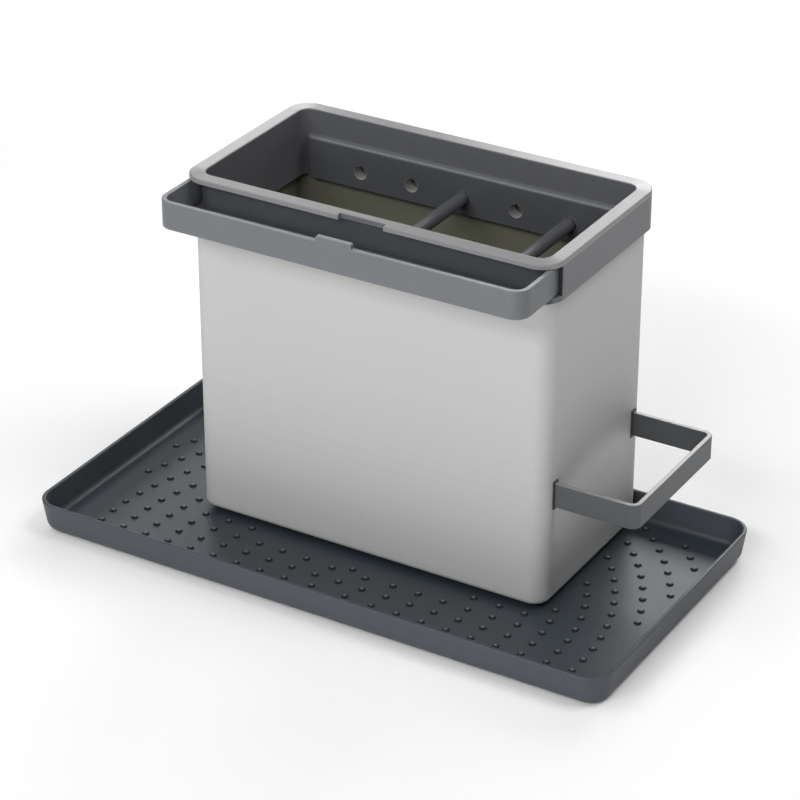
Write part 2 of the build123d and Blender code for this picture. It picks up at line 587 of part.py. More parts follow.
def loop_guides():
    """Square tubes inside the box that keep the loop level, with webs to the long wall."""
    guides = {}
    inner_size = (BOX_INNER_LENGTH, BOX_INNER_DEPTH, BOX_INNER_RADIUS)
    inside = slab(*inner_size, BOX_BOTTOM, STEEL_TOP, BOX_BACK_OFFSET)
    for name, y in arm_ys().items():
        side = -1 if name == "front" else 1
        tube = bar_x(GUIDE_OUTER, GUIDE_END, BOX_RIGHT_INSIDE, y, LOOP_MIDDLE)
        wall_y = BOX_BACK_OFFSET + side * BOX_INNER_DEPTH / 2
        web_y = sorted((y + side * GUIDE_BORE[0] / 2, wall_y))
        for level in (-1, 1):
            web_z = LOOP_MIDDLE + level * (GUIDE_OUTER[1] - GUIDE_WEB) / 2
            web_x = (GUIDE_END, BOX_RIGHT_INSIDE - BOX_INNER_RADIUS)
            tube = tube + block(web_x, web_y, around(web_z, GUIDE_WEB))
        bore = bar_x(GUIDE_BORE, GUIDE_END + GUIDE_WALL, BOX_RIGHT_INSIDE + CUT, y, LOOP_MIDDLE)
        guides[f"loop_guide_{name}"] = (tube & inside) - bore
    return guides


def model():
    """Every node by name."""
    nodes = {"drip_tray": drip_tray(), "steel_box": steel_box(), "drain_plate": drain_plate()}
    nodes.update(tray_pads())
    nodes.update(box_feet())
    nodes["collar"] = collar()
    nodes.update(rod_strips())
    nodes.update(divider_rods())
    nodes["cloth_rail"] = cloth_rail()
    nodes.update(rail_glides())
    nodes["bottle_loop"] = bottle_loop()
    nodes.update(loop_stops())
    nodes.update(slot_bezels())
    nodes.update(loop_guides())
    return nodes


for node, shape in model().items():
    export_step(shape, f"parts/{node}.step")
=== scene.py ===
"""Looks of a kitchen sink caddy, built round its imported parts.

Lengths are in metres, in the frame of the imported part: +Z up, the origin under the middle of the
drip tray, the cloth rail towards -Y and the bottle loop towards +X. Colours are linear.
"""

from __future__ import annotations

import logging
import math
from abc import ABC, abstractmethod
from collections.abc import Callable
from dataclasses import dataclass, field
from enum import Enum

import bmesh
import bpy
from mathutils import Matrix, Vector

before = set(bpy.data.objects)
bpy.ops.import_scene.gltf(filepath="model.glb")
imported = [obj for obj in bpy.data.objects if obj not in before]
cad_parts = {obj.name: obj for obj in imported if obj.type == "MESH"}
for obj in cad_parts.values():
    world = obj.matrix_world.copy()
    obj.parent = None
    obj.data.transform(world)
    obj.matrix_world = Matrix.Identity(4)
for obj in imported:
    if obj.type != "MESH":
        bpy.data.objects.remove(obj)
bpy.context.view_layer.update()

MM = 0.001
LOG = logging.getLogger("sink_caddy")

Colour = tuple[float, float, float]
Place = tuple[float, float, float]


class Corner(Enum):
    """The corners that the pads and the feet stand at."""

    FRONT_LEFT = "front_left"
    FRONT_RIGHT = "front_right"
    BACK_LEFT = "back_left"
    BACK_RIGHT = "back_right"


class End(Enum):
    """The ends of the loop's slots and of the rods."""

    FRONT = "front"
    BACK = "back"


class Sum(Enum):
    """What a math node works out from its values."""

    PLUS = "ADD"
    MINUS = "SUBTRACT"
    TIMES = "MULTIPLY"
    OVER = "DIVIDE"
    BELOW = "LESS_THAN"
    ABOVE = "GREATER_THAN"
    LEAST = "MINIMUM"
    MOST = "MAXIMUM"
    ROOT = "SQRT"
    DISTANCE = "ABSOLUTE"
    THERE_AND_BACK = "PINGPONG"


class Wiring:
    """Places nodes in one node tree and links them."""

    FIRST_COLOUR = 6
    SECOND_COLOUR = 7
    MIXED_COLOUR = 2

    def __init__(self, tree: bpy.types.NodeTree) -> None:
        """Keeps the tree and empties it."""
        self.tree = tree
        self.tree.nodes.clear()

    def add(self, kind: str, **settings: object) -> bpy.types.Node:
        """Adds a node and sets its properties.

        Args:
            kind: The node's type name.
            settings: Properties of the node, by name.

        Returns:
            The new node.
        """
        node = self.tree.nodes.new(kind)
        for name, value in settings.items():
            setattr(node, name, value)
        return node

    def give(self, socket: bpy.types.NodeSocket, value: object) -> None:
        """Sets an input, or links it where the value is an output.

        Args:
            socket: The input.
            value: A value, or the output to link.
        """
        if isinstance(value, bpy.types.NodeSocket):
            self.tree.links.new(value, socket)
        else:
            socket.default_value = value

    def feed(self, node: bpy.types.Node, **inputs: object) -> bpy.types.Node:
        """Sets or links inputs of a node, where an underscore in a name stands for a space.

        Args:
            node: The node whose inputs are set.
            inputs: A value, or an output to link, by input name.

        Returns:
            The same node.
        """
        for name, value in inputs.items():
            self.give(node.inputs[name.replace("_", " ")], value)
        return node

    def math(self, what: Sum, *values: object) -> bpy.types.NodeSocket:
        """Adds a math node.

        Args:
            what: What the node works out.
            values: Its values, or outputs to link.

        Returns:
            The node's output.
        """
        node = self.add("ShaderNodeMath", operation=what.value)
        for socket, value in zip(node.inputs, values):
            self.give(socket, value)
        return node.outputs[0]

    def times(self, first: object, second: object) -> bpy.types.NodeSocket:
        """Multiplies two numbers."""
        return self.math(Sum.TIMES, first, second)

    def spread(self, value: object, low: float, high: float) -> bpy.types.NodeSocket:
        """Maps a value from 0 to 1 onto a range."""
        node = self.feed(self.add("ShaderNodeMapRange"), Value=value, To_Min=low, To_Max=high)
        return node.outputs["Result"]

    def smooth(self, value: object, start: object, end: object) -> bpy.types.NodeSocket:
        """Rises smoothly from 0 to 1, while a value goes from a start to an end."""
        node = self.add("ShaderNodeMapRange", interpolation_type="SMOOTHSTEP")
        return self.feed(node, Value=value, From_Min=start, From_Max=end).outputs["Result"]

    def shift(self, share: object, first: object, second: object) -> bpy.types.NodeSocket:
        """Mixes two numbers by the share of the second."""
        gap = self.math(Sum.MINUS, second, first)
        return self.math(Sum.PLUS, self.times(gap, share), first)

    def blend(self, share: object, first: object, second: object) -> bpy.types.NodeSocket:
        """Mixes two colours.

        Args:
            share: The share of the second colour.
            first: The first colour, or an output.
            second: The second colour, or an output.

        Returns:
            The mixed colour.
        """
        node = self.add("ShaderNodeMix", data_type="RGBA")
        self.give(node.inputs["Factor"], share)
        for index, value in ((self.FIRST_COLOUR, first), (self.SECOND_COLOUR, second)):
            self.give(node.inputs[index], (*value, 1.0) if isinstance(value, tuple) else value)
        return node.outputs[self.MIXED_COLOUR]

    def position(self) -> bpy.types.NodeSocket:
        """The place on the piece, in the part's frame."""
        return self.add("ShaderNodeTexCoord").outputs["Object"]

    def position_axes(self) -> bpy.types.NodeOutputs:
        """The place on the piece, as X, Y and Z."""
        return self.feed(self.add("ShaderNodeSeparateXYZ"), Vector=self.position()).outputs

    def facing_axes(self) -> bpy.types.NodeOutputs:
        """The direction that the surface faces, as X, Y and Z."""
        normal = self.add("ShaderNodeNewGeometry").outputs["Normal"]
        return self.feed(self.add("ShaderNodeSeparateXYZ"), Vector=normal).outputs

    def noise(self, **settings: object) -> bpy.types.NodeSocket:
        """Adds a noise texture and gives its value."""
        return self.feed(self.add("ShaderNodeTexNoise"), **settings).outputs["Fac"]

    def bump(self, height: object, depth: float, **base: object) -> bpy.types.NodeSocket:
        """Bends the normal by a height, times a depth in metres."""
        node = self.feed(self.add("ShaderNodeBump"), Strength=1.0, Distance=depth, Height=height)
        return self.feed(node, **base).outputs["Normal"]

    def principled(self) -> bpy.types.Node:
        """Adds the shader of a solid surface and shows it.

        Returns:
            The shader's node.
        """
        shader = self.add("ShaderNodeBsdfPrincipled")
        self.feed(self.add("ShaderNodeOutputMaterial"), Surface=shader.outputs[0])
        return shader

    def mix(
        self, share: object, first: bpy.types.Node, second: bpy.types.Node
    ) -> bpy.types.NodeSocket:
        """Mixes two shaders.

        Args:
            share: The share of the second shader.
            first: The first shader's node.
            second: The second shader's node.

        Returns:
            The mixed shader.
        """
        node = self.feed(self.add("ShaderNodeMixShader"), Fac=share)
        for socket, shader in zip(node.inputs[1:], (first, second)):
            self.give(socket, shader.outputs[0])
        return node.outputs[0]


Effect = Callable[[], bpy.types.NodeTree]
Group = tuple[Wiring, bpy.types.NodeOutputs, bpy.types.Node]


class SurfaceEffects:
    """Shader node groups that several finishes share, each built once."""

    CELLS_PER_PIT = 0.8
    CLOUDS_PER_METRE = 70.0
    BAND_SCALE = 0.13
    BAND_SHARE = 0.6
    CHIPS_PER_METRE = 240.0
    CHIPPING = (2.0, 9.0)

    # Shares of an axis in the normal, where a face begins and fully comes to count as such a face
    UPWARD = (0.45, 0.9)
    FORWARD = (-0.5, -0.95)
    BUMP_FLANK = (0.96, 0.84)
    BUMP_CROWN = (0.86, 0.96)

    def __init__(self) -> None:
        """Starts with no groups."""
        self.groups: dict[str, bpy.types.NodeTree] = {}

    def place(self, wiring: Wiring, effect: Effect, **inputs: object) -> bpy.types.NodeOutputs:
        """Places a shared effect in a material.

        Args:
            wiring: The material's wiring.
            effect: The method of this class that builds the group.
            inputs: The values of the group's inputs.

        Returns:
            The group's outputs.
        """
        name = effect.__name__
        if name not in self.groups:
            self.groups[name] = effect()
        node = wiring.add("ShaderNodeGroup", node_tree=self.groups[name])
        return wiring.feed(node, **inputs).outputs

    @staticmethod
    def group(name: str, inputs: dict[str, float], *outputs: str) -> Group:
        """Makes an empty group with its sockets, which all are numbers.

        Args:
            name: The group's name.
            inputs: The inputs with their usual values.
            outputs: The outputs' names.

        Returns:
            The group's wiring, what it is given and its output node.
        """
        tree = bpy.data.node_groups.new(name, "ShaderNodeTree")
        number = "NodeSocketFloat"
        for label, usual in inputs.items():
            socket = tree.interface.new_socket(name=label, in_out="INPUT", socket_type=number)
            socket.default_value = usual
        for label in outputs:
            tree.interface.new_socket(name=label, in_out="OUTPUT", socket_type=number)
        wiring = Wiring(tree)
        return wiring, wiring.add("NodeGroupInput").outputs, wiring.add("NodeGroupOutput")

    def mould_grain(self) -> bpy.types.NodeTree:
        """The fine spark-eroded grain of a moulded surface.

        Returns:
            A group with Size and Unevenness in, Height and Mottle out.
        """
        sizes = {"Size": 0.4 * MM, "Unevenness": 0.5}
        wiring, given, result = self.group("mould_grain", sizes, "Height", "Mottle")
        place = wiring.position()
        per_metre = wiring.math(Sum.OVER, 1.0, given["Size"])
        pits = wiring.noise(Vector=place, Scale=per_metre, Detail=3.0, Roughness=0.62)
        cells = wiring.add("ShaderNodeTexVoronoi", feature="SMOOTH_F1")
        scale = wiring.times(per_metre, self.CELLS_PER_PIT)
        wiring.feed(cells, Vector=place, Scale=scale, Smoothness=0.6)
        low = wiring.times(cells.outputs["Distance"], given["Unevenness"])
        scale = self.CLOUDS_PER_METRE
        clouds = wiring.noise(Vector=place, Scale=scale, Detail=4.0, Roughness=0.6)
        mottle = wiring.times(wiring.math(Sum.PLUS, clouds, pits), 0.5)
        wiring.feed(result, Height=wiring.math(Sum.PLUS, pits, low), Mottle=mottle)
        return wiring.tree

    def brush_lines(self) -> bpy.types.NodeTree:
        """The hair lines of brushed sheet steel.

        Returns:
            A group with the share of each axis and a Pitch in, Height and Streaks out.
        """
        sizes = {"Along X": 0.012, "Along Y": 0.012, "Along Z": 1.0, "Pitch": 0.3 * MM}
        wiring, given, result = self.group("brush_lines", sizes, "Height", "Streaks")
        shares = wiring.add("ShaderNodeCombineXYZ")
        for axis in "XYZ":
            share = wiring.math(Sum.OVER, given[f"Along {axis}"], given["Pitch"])
            wiring.feed(shares, **{axis: share})
        stretched = wiring.add("ShaderNodeVectorMath", operation="MULTIPLY")
        for socket, value in zip(stretched.inputs, (wiring.position(), shares.outputs[0])):
            wiring.give(socket, value)
        place = stretched.outputs[0]
        hairs = wiring.noise(Vector=place, Scale=1.0, Detail=2.0, Roughness=0.5)
        bands = wiring.noise(Vector=place, Scale=self.BAND_SCALE, Detail=3.0, Roughness=0.55)
        streaks = wiring.shift(self.BAND_SHARE, hairs, bands)
        wiring.feed(result, Height=hairs, Streaks=streaks)
        return wiring.tree

    def edge_wear(self) -> bpy.types.NodeTree:
        """Where edges are rubbed: the surface's bend within a width, broken up by noise.

        Returns:
            A group with Width in and Mask out.
        """
        wiring, given, result = self.group("edge_wear", {"Width": 0.8 * MM}, "Mask")
        rounded = wiring.feed(wiring.add("ShaderNodeBevel", samples=4), Radius=given["Width"])
        facing = wiring.add("ShaderNodeNewGeometry").outputs["Normal"]
        likeness = wiring.add("ShaderNodeVectorMath", operation="DOT_PRODUCT")
        for socket, value in zip(likeness.inputs, (rounded.outputs["Normal"], facing)):
            wiring.give(socket, value)
        bend = wiring.math(Sum.MINUS, 1.0, likeness.outputs["Value"])
        place, scale = wiring.position(), self.CHIPS_PER_METRE
        chips = wiring.noise(Vector=place, Scale=scale, Detail=5.0, Roughness=0.7)
        rubbed = wiring.times(bend, wiring.spread(chips, *self.CHIPPING))
        wiring.feed(result, Mask=wiring.math(Sum.LEAST, rubbed, 1.0))
        return wiring.tree

    def upper_face(self) -> bpy.types.NodeTree:
        """The faces that look up above a level, such as the top of a rim.

        Returns:
            A group with Level in and Mask out.
        """
        wiring, given, result = self.group("upper_face", {"Level": 0.19}, "Mask")
        upward = wiring.smooth(wiring.facing_axes()["Z"], *self.UPWARD)
        above = wiring.math(Sum.ABOVE, wiring.position_axes()["Z"], given["Level"])
        wiring.feed(result, Mask=wiring.times(upward, above))
        return wiring.tree

    def inner_face(self) -> bpy.types.NodeTree:
        """The faces of a box that look towards its middle line.

        Returns:
            A group with the middle's X and Y in and Mask out.
        """
        sizes = {"Middle X": 0.0, "Middle Y": 0.0}
        wiring, given, result = self.group("inner_face", sizes, "Mask")
        place, facing = wiring.position_axes(), wiring.facing_axes()
        outward = []
        for axis in "XY":
            away = wiring.math(Sum.MINUS, place[axis], given[f"Middle {axis}"])
            outward.append(wiring.times(away, facing[axis]))
        wiring.feed(result, Mask=wiring.math(Sum.BELOW, wiring.math(Sum.PLUS, *outward), 0.0))
        return wiring.tree

    def bores(self) -> bpy.types.NodeTree:
        """The walls of a row of level holes, evenly spaced about the middle.

        Returns:
            A group with Pitch, Level, Radius and Half Row in and Mask out.
        """
        sizes = {"Pitch": 0.03, "Level": 0.164, "Radius": 3.9 * MM, "Half Row": 0.066}
        wiring, given, result = self.group("bores", sizes, "Mask")
        place = wiring.position_axes()
        half = wiring.times(given["Pitch"], 0.5)
        along = wiring.math(Sum.THERE_AND_BACK, place["X"], half)
        above = wiring.math(Sum.MINUS, place["Z"], given["Level"])
        squares = wiring.math(Sum.PLUS, wiring.times(along, along), wiring.times(above, above))
        within = wiring.math(Sum.BELOW, wiring.math(Sum.ROOT, squares), given["Radius"])
        aside = wiring.math(Sum.DISTANCE, place["X"])
        near = wiring.math(Sum.BELOW, aside, given["Half Row"])
        wiring.feed(result, Mask=wiring.times(within, near))
        return wiring.tree

    def rim_reach(self) -> bpy.types.NodeTree:
        """How far a place lies outside the core of a rounded box, seen from above.

        Returns:
            A group with the box's Middle Y and the core's halves in and Reach out.
        """
        sizes = {"Middle Y": 0.027, "Half Length": 0.09, "Half Depth": 0.042}
        wiring, given, result = self.group("rim_reach", sizes, "Reach")
        place = wiring.position_axes()
        back = wiring.math(Sum.MINUS, place["Y"], given["Middle Y"])
        squares = []
        for offset, half in ((place["X"], "Half Length"), (back, "Half Depth")):
            past = wiring.math(Sum.MINUS, wiring.math(Sum.DISTANCE, offset), given[half])
            clear = wiring.math(Sum.MOST, past, 0.0)
            squares.append(wiring.times(clear, clear))
        wiring.feed(result, Reach=wiring.math(Sum.ROOT, wiring.math(Sum.PLUS, *squares)))
        return wiring.tree

    def front_wall(self) -> bpy.types.NodeTree:
        """The wall that looks to the front, before a plane and under a level.

        Returns:
            A group with Plane, Level and how far aside it begins in, and Mask out.
        """
        sizes = {"Plane": -0.02, "Level": 0.188, "Beyond": 0.0}
        wiring, given, result = self.group("front_wall", sizes, "Mask")
        place = wiring.position_axes()
        forward = wiring.smooth(wiring.facing_axes()["Y"], *self.FORWARD)
        before = wiring.math(Sum.BELOW, place["Y"], given["Plane"])
        under = wiring.math(Sum.BELOW, place["Z"], given["Level"])
        aside = wiring.math(Sum.DISTANCE, place["X"])
        past = wiring.math(Sum.ABOVE, aside, given["Beyond"])
        within = wiring.times(wiring.times(before, under), past)
        wiring.feed(result, Mask=wiring.times(forward, within))
        return wiring.tree

    def low_bumps(self) -> bpy.types.NodeTree:
        """The flanks and the crowns of low bumps on a floor, within a field.

        Returns:
            A group with the floor's and the bumps' levels and the field's halves in, Flank and
            Crown out.
        """
        sizes = {"Floor": 3.0 * MM, "Top": 4.0 * MM, "Half Length": 0.15, "Half Depth": 0.074}
        wiring, given, result = self.group("low_bumps", sizes, "Flank", "Crown")
        place, upward = wiring.position_axes(), wiring.facing_axes()["Z"]
        within = wiring.math(Sum.BELOW, place["Z"], given["Top"])
        for axis, half in (("X", "Half Length"), ("Y", "Half Depth")):
            aside = wiring.math(Sum.DISTANCE, place[axis])
            within = wiring.times(within, wiring.math(Sum.BELOW, aside, given[half]))
        raised = wiring.smooth(place["Z"], given["Floor"], given["Top"])
        flank = wiring.smooth(upward, *self.BUMP_FLANK)
        crown = wiring.times(raised, wiring.smooth(upward, *self.BUMP_CROWN))
        wiring.feed(result, Flank=wiring.times(flank, within), Crown=wiring.times(crown, within))
        return wiring.tree

    def handling(self) -> bpy.types.NodeTree:
        """Soft patches that hands and wiping leave in the gloss.

        Returns:
            A group with Scale in and Patches out.
        """
        wiring, given, result = self.group("handling", {"Scale": 18.0}, "Patches")
        place, scale = wiring.position(), given["Scale"]
        patches = wiring.noise(Vector=place, Scale=scale, Detail=3.0, Distortion=0.8)
        wiring.feed(result, Patches=patches)
        return wiring.tree


def toned(colour: Colour, factor: float) -> Colour:
    """A colour made lighter or darker, with no channel over 1."""
    return tuple(min(1.0, channel * factor) for channel in colour)


def new_material(name: str) -> tuple[bpy.types.Material, Wiring]:
    """Makes an empty material.

    Args:
        name: The material's name.

    Returns:
        The material and its wiring.
    """
    material = bpy.data.materials.new(name)
    material.use_nodes = True
    return material, Wiring(material.node_tree)


@dataclass
class Skin:
    """What the shader of a moulded plastic is fed with, while layers are laid over it."""

    wiring: Wiring
    effects: SurfaceEffects
    shader: bpy.types.Node
    mottle: bpy.types.NodeSocket
    colour: bpy.types.NodeSocket
    gloss: bpy.types.NodeSocket
    normal: bpy.types.NodeSocket

    def place(self, effect: Effect, **inputs: object) -> bpy.types.NodeOutputs:
        """Places a shared effect in the plastic's material."""
        return self.effects.place(self.wiring, effect, **inputs)

    def mottled(self, tone: Colour, play: float) -> bpy.types.NodeSocket:
        """A tone that gets darker and lighter with the mottling, by a share of itself."""
        return self.wiring.blend(self.mottle, toned(tone, 1.0 - play), toned(tone, 1.0 + play))

    def cover(self, mask: bpy.types.NodeSocket, tone: object) -> None:
        """Lays a tone over the skin where a mask is 1."""
        self.colour = self.wiring.blend(mask, self.colour, tone)

    def roughen(self, mask: bpy.types.NodeSocket, roughness: float) -> None:
        """Gives the skin a roughness where a mask is 1."""
        self.gloss = self.wiring.shift(mask, self.gloss, roughness)


class Layer(ABC):
    """Something that is laid over the skin of a moulded plastic, in some places."""

    @abstractmethod
    def lay(self, skin: Skin) -> None:
        """Lays the layer.

        Args:
            skin: The skin that is covered.
        """


@dataclass(frozen=True)
class SmoothTopPaintedLight(Layer):
    """The smooth top of a moulded rim above a level, with a painted tone: paler as a painted
    highlight, darker as a painted shade.

    The top of a rim can fall outwards, and its painted highlight can also go down its outer side.
    """

    level: float
    tone: Colour
    roughness: float = 0.25
    coat: float = 0.5
    play: float = 0.06
    fall: float = 0.0
    side_level: float = 0.0
    side_reach: float = 0.0

    def lay(self, skin: Skin) -> None:
        """Lays the top's painted tone, with its fall and its side where it has them.

        Args:
            skin: The skin that is covered.
        """
        wiring = skin.wiring
        mask = skin.place(skin.effects.upper_face, Level=self.level)["Mask"]
        pale = mask
        if self.fall or self.side_reach:
            reach = skin.place(skin.effects.rim_reach)["Reach"]
        if self.side_reach:
            high = wiring.math(Sum.ABOVE, wiring.position_axes()["Z"], self.side_level)
            side = wiring.times(high, wiring.math(Sum.ABOVE, reach, self.side_reach))
            pale = wiring.math(Sum.MOST, mask, side)
        # Painted light: the top, and its side where it has one, get a paler tone as a painted
        # highlight, or a darker one as a painted shade.
        skin.cover(pale, skin.mottled(self.tone, self.play))
        skin.roughen(mask, self.roughness)
        if self.fall:
            fallen = wiring.times(reach, wiring.times(mask, -self.fall))
            skin.normal = wiring.bump(fallen, 1.0, Normal=skin.normal)
        if self.coat:
            weight = wiring.times(mask, self.coat)
            wiring.feed(skin.shader, Coat_Weight=weight, Coat_Roughness=self.roughness)
            wiring.feed(skin.shader, Coat_Normal=skin.normal)


@dataclass(frozen=True)
class BumpsPaintedShadeAndHighlight(Layer):
    """Low bumps with a painted shade on their flanks and a painted highlight on their crowns."""

    floor: float
    top: float
    half_length: float
    half_depth: float
    flank_shade: Colour
    rubbed: Colour
    flank_roughness: float = 0.85

    def lay(self, skin: Skin) -> None:
        """Lays the painted shade on the flanks and the painted highlight on the crowns.

        Args:
            skin: The skin that is covered.
        """
        field_halves = {"Half_Length": self.half_length, "Half_Depth": self.half_depth}
        bumps = skin.effects.low_bumps
        shares = skin.place(bumps, Floor=self.floor, Top=self.top, **field_halves)
        # Painted shade darkens the flanks, and a painted highlight lightens the crowns.
        skin.cover(shares["Flank"], self.flank_shade)
        skin.cover(shares["Crown"], self.rubbed)
        skin.roughen(shares["Flank"], self.flank_roughness)


@dataclass(frozen=True)
class PaintedShadeWall(Layer):
    """Painted shade on a wall that looks to the front, before a plane, under a level and past a
    side, with a duller gloss.
    """

    plane: float
    level: float
    tone: Colour
    beyond: float = 0.0
    play: float = 0.1
    roughness: float = 0.7

    def lay(self, skin: Skin) -> None:
        """Lays the painted shade on the wall.

        Args:
            skin: The skin that is covered.
        """
        sizes = {"Plane": self.plane, "Level": self.level, "Beyond": self.beyond}
        mask = skin.place(skin.effects.front_wall, **sizes)["Mask"]
        skin.cover(mask, skin.mottled(self.tone, self.play))
        skin.roughen(mask, self.roughness)


@dataclass(frozen=True)
class BoresPaintedLight(Layer):
    """A row of level holes whose walls get a paler tone, a painted light that stands for the lit
    steel seen through them.
    """

    pitch: float
    level: float
    radius: float
    half_row: float
    tone: Colour

    def lay(self, skin: Skin) -> None:
        """Lays the painted light on the holes' walls.

        Args:
            skin: The skin that is covered.
        """
        sizes = {"Pitch": self.pitch, "Level": self.level, "Radius": self.radius}
        mask = skin.place(skin.effects.bores, Half_Row=self.half_row, **sizes)["Mask"]
        skin.cover(mask, self.tone)


class Finish(ABC):
    """A finish that pieces are given as a material."""

    name: str

    @abstractmethod
    def build(self, effects: SurfaceEffects) -> bpy.types.Material:
        """Builds the material.

        Args:
            effects: The shared node groups.

        Returns:
            The material.
        """

    def material(self, effects: SurfaceEffects) -> bpy.types.Material:
        """The material, built the first time that it is asked for."""
        return bpy.data.materials.get(self.name) or self.build(effects)


@dataclass(frozen=True)
class MouldedPlastic(Finish):
    """A moulded plastic with fine grain, soft mottling and lighter rubbed edges."""

    name: str
    colour: Colour
    roughness: float = 0.5
    roughness_play: float = 0.06
    grain_size: float = 0.35 * MM
    grain_depth: float = 0.02 * MM
    mottle_share: float = 0.12
    edge_tone: float = 1.7
    edge_width: float = 0.7 * MM
    layers: tuple[Layer, ...] = ()

    def build(self, effects: SurfaceEffects) -> bpy.types.Material:
        """Builds the material, and lays its layers in order.

        Args:
            effects: The shared node groups.

        Returns:
            The material.
        """
        material, wiring = new_material(self.name)
        shader = wiring.principled()
        grain = effects.place(wiring, effects.mould_grain, Size=self.grain_size)
        wear = effects.place(wiring, effects.edge_wear, Width=self.edge_width)["Mask"]
        hands = effects.place(wiring, effects.handling)["Patches"]
        dark = toned(self.colour, 1.0 - self.mottle_share)
        light = toned(self.colour, 1.0 + self.mottle_share)
        body = wiring.blend(grain["Mottle"], dark, light)
        low, high = self.roughness - self.roughness_play, self.roughness + self.roughness_play
        skin = Skin(
            wiring,
            effects,
            shader,
            mottle=grain["Mottle"],
            colour=wiring.blend(wear, body, toned(self.colour, self.edge_tone)),
            gloss=wiring.spread(hands, low, high),
            normal=wiring.bump(grain["Height"], self.grain_depth),
        )
        for layer in self.layers:
            layer.lay(skin)
        wiring.feed(shader, Base_Color=skin.colour, Roughness=skin.gloss, Normal=skin.normal)
        return material


@dataclass(frozen=True)
class BrushedSteel(Finish):
    """Satin sheet steel with fine brush lines round the box, and a painted shade, darker and
    olive, on its inner faces.
    """

    name: str
    colour: Colour
    roughness: float = 0.7
    roughness_play: float = 0.06
    line_shares: tuple[float, float, float] = (0.012, 0.012, 1.0)
    line_pitch: float = 0.3 * MM
    line_depth: float = 0.006 * MM
    streak_share: float = 0.05
    stretch: float = 0.3
    metallic: float = 0.33
    middle: tuple[float, float] = (0.0, 27.0 * MM)
    # Painted shade of the box's inner faces, tinted olive as a painted reflection of the dark
    # plastic.
    inside_shade: Colour = (0.225, 0.225, 0.168)
    inside_play: float = 0.1
    patch_scale: float = 9.0
    edge_tone: float = 1.15
    edge_width: float = 1.2 * MM

    def build(self, effects: SurfaceEffects) -> bpy.types.Material:
        """Builds the material.

        Args:
            effects: The shared node groups.

        Returns:
            The material.
        """
        material, wiring = new_material(self.name)
        shader = wiring.principled()
        along = dict(zip(("Along_X", "Along_Y", "Along_Z"), self.line_shares))
        lines = effects.place(wiring, effects.brush_lines, Pitch=self.line_pitch, **along)
        wear = effects.place(wiring, effects.edge_wear, Width=self.edge_width)["Mask"]
        hands = effects.place(wiring, effects.handling, Scale=self.patch_scale)["Patches"]
        middle = dict(zip(("Middle_X", "Middle_Y"), self.middle))
        within = effects.place(wiring, effects.inner_face, **middle)["Mask"]
        bright = self.streaked(wiring, lines["Streaks"], self.colour, self.streak_share)
        # Painted shade on the faces that look inward.
        painted_inside_shade = self.streaked(wiring, lines["Streaks"], self.inside_shade, self.inside_play)
        body = wiring.blend(within, bright, painted_inside_shade)
        rubbed = wiring.blend(wear, body, toned(self.colour, self.edge_tone))
        both = wiring.times(wiring.math(Sum.PLUS, lines["Streaks"], hands), 0.5)
        low, high = self.roughness - self.roughness_play, self.roughness + self.roughness_play
        normal = wiring.bump(lines["Height"], self.line_depth)
        tangent = wiring.add("ShaderNodeTangent", direction_type="RADIAL", axis="Z")
        wiring.feed(shader, Base_Color=rubbed, Roughness=wiring.spread(both, low, high))
        wiring.feed(shader, Normal=normal, Tangent=tangent.outputs["Tangent"])
        wiring.feed(shader, Metallic=self.metallic, Anisotropic=self.stretch)
        return material

    @staticmethod
    def streaked(
        wiring: Wiring, streaks: bpy.types.NodeSocket, tone: Colour, play: float
    ) -> bpy.types.NodeSocket:
        """A tone that gets darker and lighter with the brush lines, by a share of itself."""
        return wiring.blend(streaks, toned(tone, 1.0 - play), toned(tone, 1.0 + play))


@dataclass(frozen=True)
class SoftRubber(Finish):
    """Dull rubber with a fine dusty bloom."""

    name: str
    colour: Colour
    roughness: float = 0.85
    roughness_play: float = 0.05
    grain_size: float = 0.25 * MM
    grain_depth: float = 0.02 * MM
    bloom_scale: float = 60.0
    bloom_tone: float = 1.6

    def build(self, effects: SurfaceEffects) -> bpy.types.Material:
        """Builds the material.

        Args:
            effects: The shared node groups.

        Returns:
            The material.
        """
        material, wiring = new_material(self.name)
        shader = wiring.principled()
        grain = effects.place(wiring, effects.mould_grain, Size=self.grain_size)
        bloom = effects.place(wiring, effects.handling, Scale=self.bloom_scale)["Patches"]
        body = wiring.blend(bloom, self.colour, toned(self.colour, self.bloom_tone))
        low, high = self.roughness - self.roughness_play, self.roughness + self.roughness_play
        normal = wiring.bump(grain["Height"], self.grain_depth)
        gloss = wiring.spread(grain["Mottle"], low, high)
        wiring.feed(shader, Base_Color=body, Roughness=gloss, Normal=normal)
        return material


@dataclass
class SubAssembly(ABC):
    """A group of pieces that belong together, with their meshes and finishes."""

    pieces: dict[str, bpy.types.Object] = field(init=False, default_factory=dict)

    @abstractmethod
    def finishes(self) -> dict[str, Finish]:
        """The finish of each piece, by the piece's name."""

    def build(self) -> None:
        """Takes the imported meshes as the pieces, because they have the whole shape."""
        self.pieces = {name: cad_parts[name] for name in self.finishes()}

    def dress(self, effects: SurfaceEffects) -> None:
        """Gives every piece its finish.

        Args:
            effects: The shared node groups.
        """
        for name, finish in self.finishes().items():
            for place in self.pieces[name].material_slots:
                place.material = finish.material(effects)
            LOG.info("%s: finish %s", name, finish.name)


# Painted light on the walls of the rod holes, standing for the lit steel seen through them.
HOLE_WALLS_PAINTED_LIGHT = BoresPaintedLight(
    pitch=30.0 * MM,
    level=164.0 * MM,
    radius=3.86 * MM,
    half_row=66.0 * MM,
    tone=(0.42, 0.42, 0.41),
)


